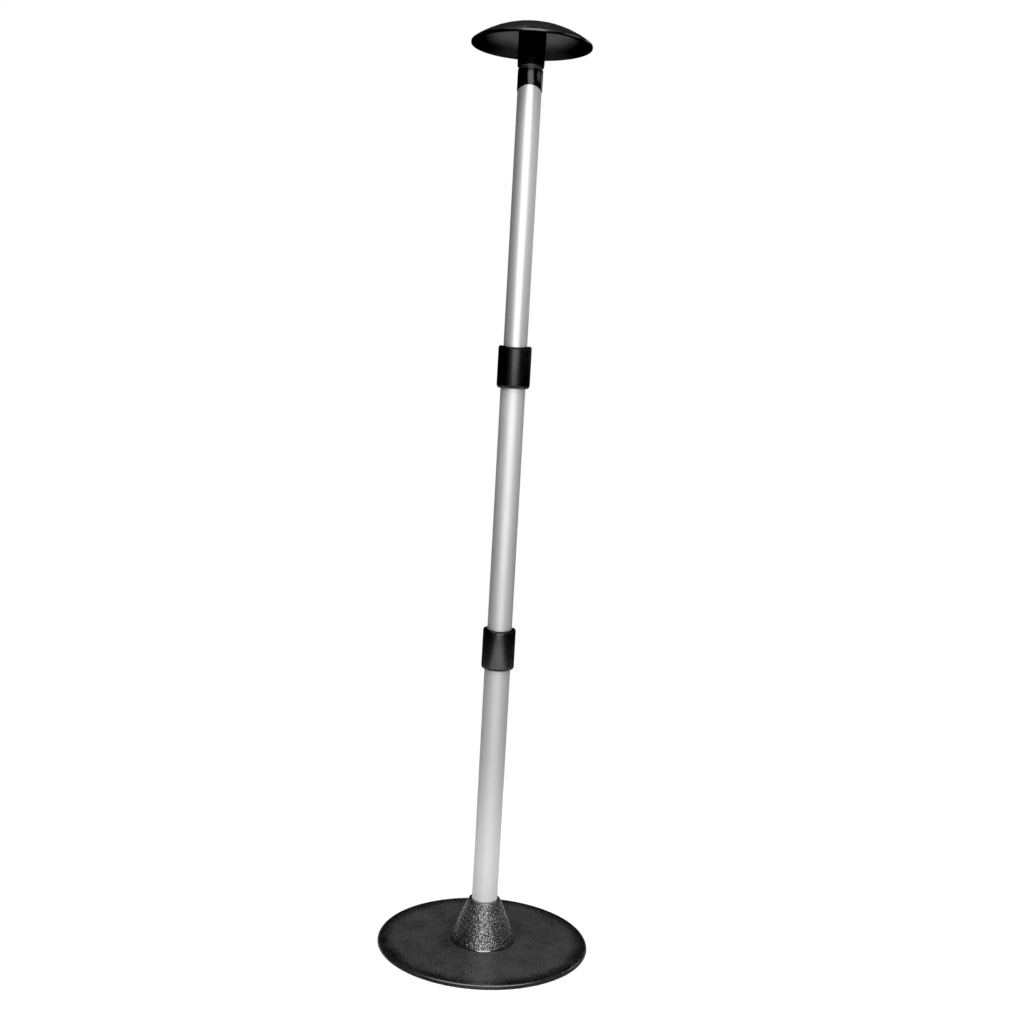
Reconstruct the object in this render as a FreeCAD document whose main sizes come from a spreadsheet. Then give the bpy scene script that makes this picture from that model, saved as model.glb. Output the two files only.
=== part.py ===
"""Telescoping cover support pole: a round base, three tubes, two twist locks and a domed cap.

Origin at the middle of the underside, +Z up along the pole, in millimetres, fully extended.
"""
import FreeCAD, Part

import math
import os
import re

import Sketcher

# The driving dimensions. Heights are from the surface that the pole stands on.
SIZES = {
    # How far a cut that goes through a piece reaches, and how far it starts outside it.
    "cut_length": 50.0,
    "cut_margin": 1.0,
    # Base disc, its pad and the hub in its middle.
    "disc_radius": 105.0,
    "disc_underside": 0.4,
    "disc_top": 4.0,
    "disc_edge_top": 3.3,
    "disc_edge_break": 0.4,
    "disc_roll_width": 9.0,
    "pad_radius": 99.4,
    "pad_thickness": 1.6,
    "pad_hole_radius": 9.0,
    "hub_radius": 14.0,
    "hub_top": 9.0,
    "hub_fit": 0.1,
    # Conical tube socket.
    "socket_foot_radius": 32.9,
    "socket_foot_edge": 0.8,
    "socket_neck_radius": 16.9,
    "socket_neck_height": 43.2,
    "socket_top": 46.3,
    "socket_lip_width": 3.4,
    "socket_lip_round": 3.5,
    "socket_wall": 3.0,
    "socket_sleeve_radius": 15.9,
    "socket_hollow_top": 34.0,
    "socket_seat": 12.0,
    "rib_thickness": 1.8,
    "rib_lift": 0.5,
    "rib_overlap": 0.4,
    "boss_circle": 22.5,
    "boss_radius": 3.2,
    "boss_length": 10.4,
    # Fasteners in the base.
    "screw_radius": 3.0,
    "screw_hole_radius": 3.2,
    "screw_head_radius": 5.5,
    "screw_head_height": 3.1,
    "screw_end": 21.0,
    "screw_key_flats": 4.0,
    "screw_key_depth": 2.0,
    "head_pocket_radius": 8.0,
    "head_pocket_top": 6.0,
    "washer_radius": 7.5,
    "washer_thickness": 1.0,
    "small_screw_radius": 1.6,
    "small_screw_hole_radius": 1.9,
    "small_screw_length": 10.0,
    "small_head_radius": 3.1,
    "small_head_height": 1.2,
    "small_pocket_radius": 3.4,
    "small_pocket_depth": 1.4,
    "nut_flats": 10.0,
    "nut_fit": 0.1,
    "nut_bottom": 15.8,
    "nut_height": 5.0,
    "plug_top": 22.0,
    # Tubes: outside radius of the lowest, one wall for all, and the gap between two of them.
    "tube_radius": 12.7,
    "tube_wall": 0.45,
    "tube_gap": 0.2,
    "bead_height": 0.12,
    "bead_width": 2.4,
    "bead_below_end": 3.0,
    "mid_tube_bottom": 259.4,
    "upper_tube_bottom": 514.2,
    "upper_tube_top": 853.2,
    # Guide bushes at the lower ends of the two sliding tubes.
    "bush_clearance": 0.06,
    "bush_flange": 4.0,
    "bush_spigot": 12.0,
    "bush_end_gap": 0.1,
    "bush_wall": 2.6,
    "bush_lead": 0.6,
    # Twist locks, measured from the bottom of each collar.
    "lower_collar_bottom": 280.7,
    "upper_collar_bottom": 556.0,
    "collar_height": 41.1,
    "collar_radius": 16.05,
    "collar_bore": 14.85,
    "collar_foot_gap": 0.15,
    "collar_foot_break": 0.3,
    "collar_shoulder": 2.6,
    "collar_saddle": 1.8,
    "collar_lip_height": 4.2,
    "collar_lip_gap": 0.3,
    "collet_foot_step": 0.5,
    "collet_foot_round": 3.7,
    "collet_rim_radius": 15.95,
    "collet_rim_height": 2.3,
    "collet_radius": 14.55,
    "collet_shoulder": 23.5,
    "collet_finger_foot": 25.0,
    "collet_finger_radius": 13.9,
    "collet_top": 35.6,
    "collet_throat": 24.0,
    "slot_width": 1.2,
    "slot_depth": 9.8,
    "grip_seat": 27.0,
    "grip_height": 8.0,
    "grip_thickness": 0.7,
    "grip_clearance": 0.05,
    "grip_slit": 1.5,
    "cam_bottom": 28.0,
    "cam_height": 6.5,
    "cam_pad_radius": 14.42,
    "cam_land_radius": 14.5,
    "cam_pad_half_angle": 18.0,
    "cam_land_half_angle": 20.0,
    "cam_root": 0.3,
    "snap_height": 8.0,
    "snap_width": 1.4,
    "snap_play": 0.1,
    "snap_groove_radius": 13.75,
    "snap_radius": 15.05,
    "snap_opening": 5.0,
    # Ferrule, top plug and domed cap.
    "ferrule_bottom": 834.7,
    "ferrule_top": 854.2,
    "ferrule_wall": 0.6,
    "ferrule_arch": 4.5,
    "plug_bottom": 829.0,
    "plug_flange_top": 856.4,
    "plug_bore": 5.0,
    "plug_bore_top": 864.0,
    "spigot_radius": 8.0,
    "spigot_top": 872.0,
    "cap_snap_bottom": 865.4,
    "cap_snap_width": 1.4,
    "cap_snap_depth": 0.8,
    "cap_snap_reach": 0.45,
    "cap_fit": 0.1,
    "stem_bottom": 856.6,
    "stem_lip_radius": 12.1,
    "stem_lip_height": 1.6,
    "stem_radius": 12.75,
    "stem_top_radius": 13.15,
    "socket_roof": 874.0,
    "dome_radius": 57.2,
    "dome_rim": 876.1,
    "dome_edge_round": 1.4,
    "dome_rim_inner": 54.6,
    "dome_top": 896.7,
    "dome_thickness": 2.8,
}

doc = FreeCAD.newDocument("cover_support_pole")
sheet = doc.addObject("Spreadsheet::Sheet", "Sizes")
for row, (alias, value) in enumerate(SIZES.items(), start=1):
    sheet.set(f"A{row}", alias)
    sheet.set(f"B{row}", str(value))
    sheet.setAlias(f"B{row}", alias)
doc.recompute()

# Radii that follow from the driving dimensions.
LOWER_BORE = "(tube_radius - tube_wall)"
MID_RADIUS = "(tube_radius - tube_wall - tube_gap)"
MID_BORE = "(tube_radius - 2 * tube_wall - tube_gap)"
UPPER_RADIUS = "(tube_radius - 2 * tube_wall - 2 * tube_gap)"
UPPER_BORE = "(tube_radius - 3 * tube_wall - 2 * tube_gap)"
LOWER_TUBE_TOP = "(lower_collar_bottom + collet_throat)"
MID_TUBE_TOP = "(upper_collar_bottom + collet_throat)"

bodies = []


def bound(text):
    """The expression with each alias pointed at the sheet."""
    return re.sub(r"[a-z_]{4,}", lambda m: f"Sizes.{m[0]}" if m[0] in SIZES else m[0], text)


def new_body(label, height="0"):
    """A body whose own zero lies at the given height on the pole."""
    body = doc.addObject("PartDesign::Body", label)
    body.Label = label
    body.AllowCompound = True
    body.setExpression("Placement.Base.z", bound(height))
    bodies.append(body)
    return body


def origin_feature(body, role):
    return next(item for item in body.Origin.OriginFeatures if item.Role == role)


def new_sketch(body, name, plane="XZ_Plane", height="0"):
    """A sketch on one of the body's own planes, raised along that plane's normal."""
    sketch = body.newObject("Sketcher::SketchObject", f"{body.Label}_{name}_outline")
    sketch.AttachmentSupport = [(origin_feature(body, plane), "")]
    sketch.MapMode = "FlatFace"
    sketch.setExpression("AttachmentOffset.Base.z", bound(height))
    doc.recompute()
    return sketch


def bind(sketch, kind, *where, to):
    """Adds a driving constraint and binds it to the sheet."""
    value = float(sketch.evalExpression(bound(to)))
    index = sketch.addConstraint(Sketcher.Constraint(kind, *where, value))
    sketch.setExpression(f"Constraints[{index}]", bound(to))


def draw(sketch, *corners):
    """A closed outline through (x, y), each an expression, walked anticlockwise.

    A third item is the radius of a round edge from that corner to the next. It bulges
    outwards, or inwards if it starts with a minus sign.
    """
    spots = []
    for corner in corners:
        x, y = (float(sketch.evalExpression(bound(text))) for text in corner[:2])
        spots.append(FreeCAD.Vector(x, y, 0))
    first = sketch.GeometryCount
    ends = []
    for index, corner in enumerate(corners):
        start, end = spots[index], spots[(index + 1) % len(spots)]
        if len(corner) == 2:
            sketch.addGeometry(Part.LineSegment(start, end))
            ends.append((1, 2))
            continue
        inward = corner[2].startswith("-")
        radius = float(sketch.evalExpression(bound(corner[2].lstrip("-"))))
        if inward:
            start, end = end, start
        half = (end - start) / 2
        across = FreeCAD.Vector(-half.y, half.x, 0).normalize()
        centre = start + half + across * math.sqrt(max(radius**2 - half.Length**2, 0))
        turns = [math.atan2(spot.y - centre.y, spot.x - centre.x) for spot in (start, end)]
        circle = Part.Circle(centre, FreeCAD.Vector(0, 0, 1), radius)
        sketch.addGeometry(Part.ArcOfCircle(circle, *turns))
        ends.append((2, 1) if inward else (1, 2))
    for index in range(len(corners)):
        following = (index + 1) % len(corners)
        here = (first + index, ends[index][1], first + following, ends[following][0])
        sketch.addConstraint(Sketcher.Constraint("Coincident", *here))
    for index, corner in enumerate(corners):
        spot = (first + index, ends[index][0])
        bind(sketch, "DistanceX", -1, 1, *spot, to=corner[0])
        bind(sketch, "DistanceY", -1, 1, *spot, to=corner[1])
        if len(corner) == 3:
            bind(sketch, "Radius", first + index, to=corner[2].lstrip("-"))


def circle_at(sketch, radius, x="0"):
    """A circle on the sketch's level axis."""
    place = FreeCAD.Vector(float(sketch.evalExpression(bound(x))), 0, 0)
    size = float(sketch.evalExpression(bound(radius)))
    index = sketch.addGeometry(Part.Circle(place, FreeCAD.Vector(0, 0, 1), size))
    bind(sketch, "Radius", index, to=radius)
    bind(sketch, "DistanceX", -1, 1, index, 3, to=x)
    bind(sketch, "DistanceY", -1, 1, index, 3, to="0")


def feature(body, kind, name, sketch, **sizes):
    """A feature made from a sketch, with its sizes bound, checked to change the volume."""
    before = body.Shape.Volume if body.Tip else 0
    made = body.newObject(f"PartDesign::{kind}", f"{body.Label}_{name}")
    made.Profile = sketch
    if kind in ("Revolution", "Groove"):
        made.ReferenceAxis = (sketch, ["V_Axis"])
        made.Angle = 360
    for size, text in sizes.items():
        made.setExpression(size, bound(text))
    doc.recompute()
    change = body.Shape.Volume - before
    cuts = kind in ("Pocket", "Groove")
    if change == 0 or (change < 0) != cuts:
        raise ValueError(f"{made.Name} changes the volume by {change}")
    return made


def repeat(body, made, count):
    """Repeats a feature round the pole's axis."""
    ring = body.newObject("PartDesign::PolarPattern", f"{made.Name}_ring")
    ring.Originals = [made]
    ring.Axis = (origin_feature(body, "Z_Axis"), [""])
    ring.Angle = 360
    ring.Occurrences = count
    body.Tip = ring
    doc.recompute()


def turned(label, *corners, height="0"):
    """A body turned from one outline of (radius, height) corners."""
    body = new_body(label, height)
    sketch = new_sketch(body, "section")
    draw(sketch, *corners)
    feature(body, "Revolution", "turning", sketch)
    return body


def ring(label, bore, radius, bottom, top, height="0"):
    """A plain ring or tube."""
    corners = ((bore, bottom), (radius, bottom), (radius, top), (bore, top))
    return turned(label, *corners, height=height)


def box_outline(sketch, left, right, bottom, top):
    draw(sketch, (left, bottom), (right, bottom), (right, top), (left, top))


def hexagon(sketch, flats):
    """A hexagon across the given flats."""
    reach = f"{flats} / 2 / cos(30)"
    draw(sketch, *((f"{reach} * cos({turn})", f"{reach} * sin({turn})") for turn in range(0, 360, 60)))


def split(body, width, height, depth):
    """Cuts a ring open at its back."""
    sketch = new_sketch(body, "split", "XY_Plane", height)
    box_outline(sketch, f"-{width} / 2", f"{width} / 2", "0", "cut_length / 2")
    feature(body, "Pocket", "splitting", sketch, Length=depth)


# --- Base -----------------------------------------------------------------------------------


def base_disc():
    """Flat moulded disc with a rolled edge, a pad recess beneath and a hub for the socket."""
    drop = "(disc_top - disc_edge_top)"
    body = turned(
        "base_disc",
        ("screw_hole_radius", "head_pocket_top"),
        ("head_pocket_radius", "head_pocket_top"),
        ("head_pocket_radius", "pad_thickness"),
        ("pad_radius", "pad_thickness"),
        ("pad_radius", "disc_underside"),
        ("disc_radius - disc_edge_break", "disc_underside"),
        ("disc_radius", "disc_underside + disc_edge_break"),
        ("disc_radius", "disc_edge_top", f"(disc_roll_width ^ 2 + {drop} ^ 2) / (2 * {drop})"),
        ("disc_radius - disc_roll_width", "disc_top"),
        ("hub_radius", "disc_top"),
        ("hub_radius", "hub_top"),
        ("screw_hole_radius", "hub_top"),
    )
    pocket_top = "pad_thickness + small_pocket_depth"
    for name, radius, top in (
        ("screw_hole", "small_screw_hole_radius", "disc_top"),
        ("head_pocket", "small_pocket_radius", pocket_top),
    ):
        sketch = new_sketch(body, name, "XY_Plane", top)
        circle_at(sketch, radius, "-boss_circle")
        repeat(body, feature(body, "Pocket", name, sketch, Length=top), 3)


def tube_socket():
    """Moulded cone that holds the lowest tube: an outer shell, a sleeve, ribs and screw bosses."""
    flank_foot = "(disc_top + socket_foot_edge)"
    slope = f"((socket_foot_radius - socket_neck_radius) / (socket_neck_height - {flank_foot}))"
    narrowing = f"({slope} * (socket_hollow_top - {flank_foot}))"
    hollow_radius = f"(socket_foot_radius - {narrowing} - socket_wall)"
    body = turned(
        "tube_socket",
        ("screw_hole_radius", "hub_top"),
        ("hub_radius + hub_fit", "hub_top"),
        ("hub_radius + hub_fit", "disc_top"),
        ("socket_sleeve_radius", "disc_top"),
        ("socket_sleeve_radius", "socket_hollow_top"),
        (hollow_radius, "socket_hollow_top"),
        ("socket_foot_radius - socket_wall", "disc_top"),
        ("socket_foot_radius", "disc_top"),
        ("socket_foot_radius", "disc_top + socket_foot_edge"),
        ("socket_neck_radius", "socket_neck_height", "socket_lip_round"),
        ("socket_neck_radius - socket_lip_width", "socket_top"),
        ("tube_radius", "socket_top"),
        ("tube_radius", "socket_seat"),
        ("screw_hole_radius", "socket_seat"),
    )
    sketch = new_sketch(body, "rib")
    draw(
        sketch,
        ("socket_sleeve_radius - rib_overlap", "disc_top + rib_lift"),
        ("socket_foot_radius - socket_wall + rib_overlap / 2", "disc_top + rib_lift"),
        (f"{hollow_radius} + rib_overlap", "socket_hollow_top + rib_overlap"),
        ("socket_sleeve_radius - rib_overlap", "socket_hollow_top + rib_overlap"),
    )
    rib = feature(body, "Pad", "rib", sketch, Length="rib_thickness")
    rib.Midplane = True
    repeat(body, rib, 3)
    sketch = new_sketch(body, "boss", "XY_Plane", "disc_top")
    circle_at(sketch, "boss_radius", "-boss_circle")
    circle_at(sketch, "small_screw_radius", "-boss_circle")
    repeat(body, feature(body, "Pad", "boss", sketch, Length="boss_length"), 3)


def base_fasteners():
    """The middle screw with its washer, the nut it pulls on, and the socket's own screws."""
    washer_bottom = "(head_pocket_top - washer_thickness)"
    head_bottom = f"({washer_bottom} - screw_head_height)"
    ring("base_washer", "screw_hole_radius", "washer_radius", washer_bottom, "head_pocket_top")
    screw = turned(
        "base_screw",
        ("0", head_bottom),
        ("screw_head_radius", head_bottom),
        ("screw_head_radius", washer_bottom),
        ("screw_radius", washer_bottom),
        ("screw_radius", "screw_end"),
        ("0", "screw_end"),
    )
    sketch = new_sketch(screw, "key", "XY_Plane", f"{head_bottom} + screw_key_depth")
    hexagon(sketch, "screw_key_flats")
    feature(screw, "Pocket", "key", sketch, Length="screw_key_depth")

    nut = new_body("end_plug_nut")
    sketch = new_sketch(nut, "hexagon", "XY_Plane", "nut_bottom")
    hexagon(sketch, "nut_flats")
    circle_at(sketch, "screw_radius")
    feature(nut, "Pad", "hexagon", sketch, Length="nut_height")

    screws = new_body("socket_screws")
    shoulder = "pad_thickness + small_pocket_depth"
    sketch = new_sketch(screws, "shank", "XY_Plane", shoulder)
    circle_at(sketch, "small_screw_radius", "-boss_circle")
    shank = feature(screws, "Pad", "shank", sketch, Length="small_screw_length")
    sketch = new_sketch(screws, "head", "XY_Plane", f"{shoulder} - small_head_height")
    circle_at(sketch, "small_head_radius", "-boss_circle")
    head = feature(screws, "Pad", "head", sketch, Length="small_head_height")
    turns = screws.newObject("PartDesign::PolarPattern", "socket_screws_ring")
    turns.Originals = [shank, head]
    turns.Axis = (origin_feature(screws, "Z_Axis"), [""])
    turns.Angle = 360
    turns.Occurrences = 3
    screws.Tip = turns


def end_plug():
    """Plug in the lowest tube's foot, with a hexagon seat that holds the nut."""
    plug = ring("end_plug", "screw_hole_radius", LOWER_BORE, "socket_seat", "plug_top")
    sketch = new_sketch(plug, "nut_seat", "XY_Plane", "plug_top")
    hexagon(sketch, "(nut_flats + 2 * nut_fit)")
    feature(plug, "Pocket", "nut_seat", sketch, Length="plug_top - nut_bottom")


# --- Tubes ----------------------------------------------------------------------------------


def sliding_tube(label, bore, radius, bottom, top, holder_top):
    """Tube with a bead rolled in its wall, which stops it at the throat of the lock above."""
    bead_top = f"({holder_top} - bead_below_end + bead_width / 2)"
    bead_bottom = f"({bead_top} - bead_width)"
    crest_top = f"({bead_top} - bead_width / 4)"
    crest_bottom = f"({bead_bottom} + bead_width / 4)"
    turned(
        label,
        (bore, bottom),
        (radius, bottom),
        (radius, bead_bottom),
        (f"{radius} + bead_height", crest_bottom),
        (f"{radius} + bead_height", crest_top),
        (radius, bead_top),
        (radius, top),
        (bore, top),
        (bore, bead_top),
        (f"{bore} + bead_height", crest_top),
        (f"{bore} + bead_height", crest_bottom),
        (bore, bead_bottom),
    )


def guide_bush(label, tube_bore, holder_bore, tube_bottom):
    """Bush whose spigot turns in the sliding tube's foot and whose flange rides in the next tube."""
    flange = f"({holder_bore} - bush_clearance)"
    spigot = f"({tube_bore} - bush_clearance)"
    bore = f"({spigot} - bush_wall)"
    turned(
        label,
        (bore, "-bush_flange"),
        (f"{flange} - bush_lead", "-bush_flange"),
        (flange, "bush_lead - bush_flange"),
        (flange, "-bush_end_gap"),
        (spigot, "-bush_end_gap"),
        (spigot, "bush_spigot - bush_lead"),
        (f"{spigot} - bush_lead", "bush_spigot"),
        (bore, "bush_spigot"),
        height=tube_bottom,
    )


# --- Twist locks ----------------------------------------------------------------------------


def cam_faces(body, name, inner, outer, half_angle):
    """Three raised faces round the lock's axis, between two radii."""
    sketch = new_sketch(body, name, "XY_Plane", "cam_bottom")
    draw(
        sketch,
        (f"{outer} * cos({half_angle})", f"-{outer} * sin({half_angle})", outer),
        (f"{outer} * cos({half_angle})", f"{outer} * sin({half_angle})"),
        (f"{inner} * cos({half_angle})", f"{inner} * sin({half_angle})", f"-{inner}"),
        (f"{inner} * cos({half_angle})", f"-{inner} * sin({half_angle})"),
    )
    repeat(body, feature(body, "Pad", name, sketch, Length="cam_height"), 3)


def twist_lock(name, holder_radius, tube_radius, bottom):
    """One lock: a slotted collet on the outer tube, a grip ring, a snap ring and the turning collar.

    The collet's rounded foot shows beneath the collar. The collar's cam lands press the collet's
    fingers on the inner tube. A sixth of a turn back brings them over the gaps between the pads.
    """
    snap_bottom = "(snap_height - snap_width / 2)"
    snap_top = "(snap_height + snap_width / 2)"
    grip_outer = f"({tube_radius} + grip_clearance + grip_thickness)"
    throat = f"({tube_radius} + grip_clearance)"
    collet = turned(
        f"{name}_collet",
        (holder_radius, "0"),
        (f"{holder_radius} + collet_foot_step", "0", "collet_foot_round"),
        ("collet_rim_radius", "collet_rim_height"),
        ("collet_radius", "collet_rim_height"),
        ("collet_radius", snap_bottom),
        ("snap_groove_radius", snap_bottom),
        ("snap_groove_radius", snap_top),
        ("collet_radius", snap_top),
        ("collet_radius", "collet_shoulder"),
        ("collet_finger_radius", "collet_finger_foot"),
        ("collet_finger_radius", "collet_top"),
        (grip_outer, "collet_top"),
        (grip_outer, "grip_seat"),
        (throat, "grip_seat"),
        (throat, "collet_throat"),
        (holder_radius, "collet_throat"),
        height=bottom,
    )
    cam_faces(collet, "pads", "(collet_finger_radius - cam_root)", "cam_pad_radius", "cam_pad_half_angle")
    sketch = new_sketch(collet, "slot", "XY_Plane", "collet_top")
    box_outline(sketch, "-slot_width / 2", "slot_width / 2", "collet_finger_radius / 2", "collar_bore")
    repeat(collet, feature(collet, "Pocket", "slot", sketch, Length="slot_depth"), 6)

    grip_top = "grip_seat + grip_height"
    grip = ring(f"{name}_grip_ring", throat, grip_outer, "grip_seat", grip_top, bottom)
    split(grip, "grip_slit", grip_top, "grip_height")

    snap = ring(
        f"{name}_snap_ring",
        "snap_groove_radius + snap_play",
        "snap_radius",
        f"{snap_bottom} + snap_play",
        f"{snap_top} - snap_play",
        bottom,
    )
    split(snap, "snap_opening", snap_top, "snap_width")

    lip = f"({tube_radius} + collar_lip_gap)"
    foot = "(collet_rim_height + collar_foot_gap)"
    collar = turned(
        f"{name}_collar",
        ("collar_bore", foot),
        ("collar_radius - collar_foot_break", foot),
        ("collar_radius", f"{foot} + collar_foot_break"),
        ("collar_radius", "collar_height - collar_shoulder", "collar_shoulder"),
        ("collar_radius - collar_shoulder", "collar_height"),
        (lip, "collar_height"),
        (lip, "collar_height - collar_lip_height"),
        ("collar_bore", "collar_height - collar_lip_height"),
        ("collar_bore", snap_top),
        ("snap_radius + snap_play", snap_top),
        ("snap_radius + snap_play", snap_bottom),
        ("collar_bore", snap_bottom),
        height=bottom,
    )
    cam_faces(collar, "lands", "cam_land_radius", "(collar_bore + cam_root)", "cam_land_half_angle")
    reach = "(collar_radius - collar_shoulder / 2)"
    sketch = new_sketch(collar, "saddle")
    draw(
        sketch,
        (f"-{reach}", "collar_height", f"({reach} ^ 2 + collar_saddle ^ 2) / (2 * collar_saddle)"),
        (reach, "collar_height"),
        (reach, "collar_height + cut_margin"),
        (f"-{reach}", "collar_height + cut_margin"),
    )
    saddle = feature(collar, "Pocket", "saddle", sketch, Length="cut_length")
    saddle.Midplane = True


# --- Top ------------------------------------------------------------------------------------


def ferrule():
    """Thin sleeve round the top tube's end, with its lower edge arched at the front and back."""
    outer = f"({UPPER_RADIUS} + ferrule_wall)"
    body = ring("ferrule", UPPER_RADIUS, outer, "ferrule_bottom", "ferrule_top")
    sketch = new_sketch(body, "arch")
    draw(
        sketch,
        (f"-{outer}", "ferrule_bottom - cut_margin"),
        (outer, "ferrule_bottom - cut_margin"),
        (outer, "ferrule_bottom", f"({outer} ^ 2 + ferrule_arch ^ 2) / (2 * ferrule_arch)"),
        (f"-{outer}", "ferrule_bottom"),
    )
    cut = body.newObject("PartDesign::Pocket", "ferrule_arch")
    cut.Profile = sketch
    cut.Midplane = True
    cut.setExpression("Length", bound("cut_length"))


def top_plug():
    """Hollow plug in the top tube's end, with a flange on the tube and a grooved spigot above it."""
    groove_top = "cap_snap_bottom + cap_snap_width"
    turned(
        "top_plug",
        ("plug_bore", "plug_bottom"),
        (UPPER_BORE, "plug_bottom"),
        (UPPER_BORE, "upper_tube_top"),
        (UPPER_RADIUS, "upper_tube_top"),
        (UPPER_RADIUS, "plug_flange_top"),
        ("spigot_radius", "plug_flange_top"),
        ("spigot_radius", "cap_snap_bottom"),
        ("spigot_radius - cap_snap_depth", "cap_snap_bottom"),
        ("spigot_radius - cap_snap_depth", groove_top),
        ("spigot_radius", groove_top),
        ("spigot_radius", "spigot_top"),
        ("0", "spigot_top"),
        ("0", "plug_bore_top"),
        ("plug_bore", "plug_bore_top"),
    )


def cap_snap_ring():
    """Split ring that keeps the cap on its spigot and lets it turn."""
    body = ring(
        "cap_snap_ring",
        "spigot_radius - cap_snap_depth",
        "spigot_radius + cap_snap_reach",
        "cap_snap_bottom + snap_play",
        "cap_snap_bottom + cap_snap_width - snap_play",
    )
    split(body, "snap_opening", "cap_snap_bottom + cap_snap_width", "cap_snap_width")


def dome_cap():
    """Mushroom cap: a thin shallow dome with a stem whose socket turns on the plug's spigot."""
    edge = "(dome_rim + dome_edge_round)"
    outer_rise = f"(dome_top - {edge})"
    inner_rise = "(dome_top - dome_thickness - dome_rim)"
    inner_curve = f"((dome_rim_inner ^ 2 + {inner_rise} ^ 2) / (2 * {inner_rise}))"
    inner_top = "(dome_top - dome_thickness)"
    stem_top = f"({inner_top} - {inner_curve} + sqrt({inner_curve} ^ 2 - stem_top_radius ^ 2))"
    bore = "(spigot_radius + cap_fit)"
    groove = f"({bore} + cap_snap_reach)"
    groove_top = "cap_snap_bottom + cap_snap_width"
    turned(
        "dome_cap",
        (bore, "stem_bottom"),
        ("stem_lip_radius", "stem_bottom"),
        ("stem_radius", "stem_bottom + stem_lip_height"),
        ("stem_top_radius", stem_top, f"-{inner_curve}"),
        ("dome_rim_inner", "dome_rim"),
        ("dome_radius - dome_edge_round", "dome_rim", "dome_edge_round"),
        ("dome_radius", edge, f"(dome_radius ^ 2 + {outer_rise} ^ 2) / (2 * {outer_rise})"),
        ("0", "dome_top"),
        ("0", "socket_roof"),
        (bore, "socket_roof"),
        (bore, groove_top),
        (groove, groove_top),
        (groove, "cap_snap_bottom"),
        (bore, "cap_snap_bottom"),
    )


base_disc()
ring("base_pad", "pad_hole_radius", "pad_radius", "0", "pad_thickness")
tube_socket()
base_fasteners()
end_plug()
ring("lower_tube", LOWER_BORE, "tube_radius", "socket_seat", LOWER_TUBE_TOP)
twist_lock("lower", "tube_radius", MID_RADIUS, "lower_collar_bottom")
sliding_tube("mid_tube", MID_BORE, MID_RADIUS, "mid_tube_bottom", MID_TUBE_TOP, LOWER_TUBE_TOP)
guide_bush("mid_guide_bush", MID_BORE, LOWER_BORE, "mid_tube_bottom")
twist_lock("upper", MID_RADIUS, UPPER_RADIUS, "upper_collar_bottom")
sliding_tube("upper_tube", UPPER_BORE, UPPER_RADIUS, "upper_tube_bottom", "upper_tube_top", MID_TUBE_TOP)
guide_bush("upper_guide_bush", UPPER_BORE, MID_BORE, "upper_tube_bottom")
ferrule()
top_plug()
cap_snap_ring()
dome_cap()

doc.recompute()
for item in doc.Objects:
    if {"Invalid", "Error"} & set(item.State):
        raise ValueError(f"{item.Label} failed: {item.State}")
for body in bodies:
    if body.Shape.isNull() or not body.Shape.isValid():
        raise ValueError(f"{body.Label} has no valid shape")

os.makedirs("parts", exist_ok=True)
for body in bodies:
    body.Shape.exportStep(f"parts/{body.Label}.step")
    print(f"{body.Label}: {len(body.Shape.Solids)} solid, {body.Shape.Volume:.0f} mm3")
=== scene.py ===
import math

import bpy
from mathutils import Matrix, Vector


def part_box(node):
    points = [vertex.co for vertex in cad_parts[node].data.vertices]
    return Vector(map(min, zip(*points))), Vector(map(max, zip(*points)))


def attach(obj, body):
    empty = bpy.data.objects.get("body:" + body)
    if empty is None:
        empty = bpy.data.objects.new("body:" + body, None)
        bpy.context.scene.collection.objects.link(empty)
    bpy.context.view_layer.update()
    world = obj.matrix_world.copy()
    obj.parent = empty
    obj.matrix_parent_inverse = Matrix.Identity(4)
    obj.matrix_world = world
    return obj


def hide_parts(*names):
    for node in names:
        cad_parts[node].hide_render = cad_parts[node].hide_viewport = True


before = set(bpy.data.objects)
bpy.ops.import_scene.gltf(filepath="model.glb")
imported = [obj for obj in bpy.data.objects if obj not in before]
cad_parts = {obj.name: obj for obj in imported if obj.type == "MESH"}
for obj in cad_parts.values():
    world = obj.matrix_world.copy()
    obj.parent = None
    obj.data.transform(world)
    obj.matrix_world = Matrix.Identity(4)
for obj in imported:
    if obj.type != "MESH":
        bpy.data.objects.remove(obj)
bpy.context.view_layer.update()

# --- Camera ---------------------------------------------------------------------------------
# A lens a little above the middle of the pole and 1.28 m in front of it, so that the base is
# seen from above and the cap from beneath. It is rolled by 3 degrees, so the pole leans.

CAMERA_DISTANCE = 1.2832
CAMERA_HEIGHT = 0.5709
CAMERA_PITCH = -0.1044
CAMERA_YAW = 0.0045
CAMERA_ROLL = 0.0561
CAMERA_LENS = 46.61

camera = bpy.data.objects.new("camera", bpy.data.cameras.new("camera"))
bpy.context.scene.collection.objects.link(camera)
bpy.context.scene.camera = camera
camera.data.sensor_width = 36.0
camera.data.lens = CAMERA_LENS
ahead = Vector((
    math.sin(CAMERA_YAW) * math.cos(CAMERA_PITCH),
    math.cos(CAMERA_YAW) * math.cos(CAMERA_PITCH),
    math.sin(CAMERA_PITCH),
))
right = Vector((math.cos(CAMERA_YAW), -math.sin(CAMERA_YAW), 0))
upright = right.cross(ahead)
across = right * math.cos(CAMERA_ROLL) + upright * math.sin(CAMERA_ROLL)
above = upright * math.cos(CAMERA_ROLL) - right * math.sin(CAMERA_ROLL)
camera.matrix_world = Matrix.Translation((0, -CAMERA_DISTANCE, CAMERA_HEIGHT)) @ Matrix(
    (across, above, -ahead)
).transposed().to_4x4()


# --- Base disc ------------------------------------------------------------------------------
# Flat moulded disc of matt black plastic. Its face has a fine spark-eroded grain inside a
# smooth rolled border, and its rim is a narrow upright band with a polished upper edge.

MM = 0.001
SHARP_EDGE = math.radians(35)


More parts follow.
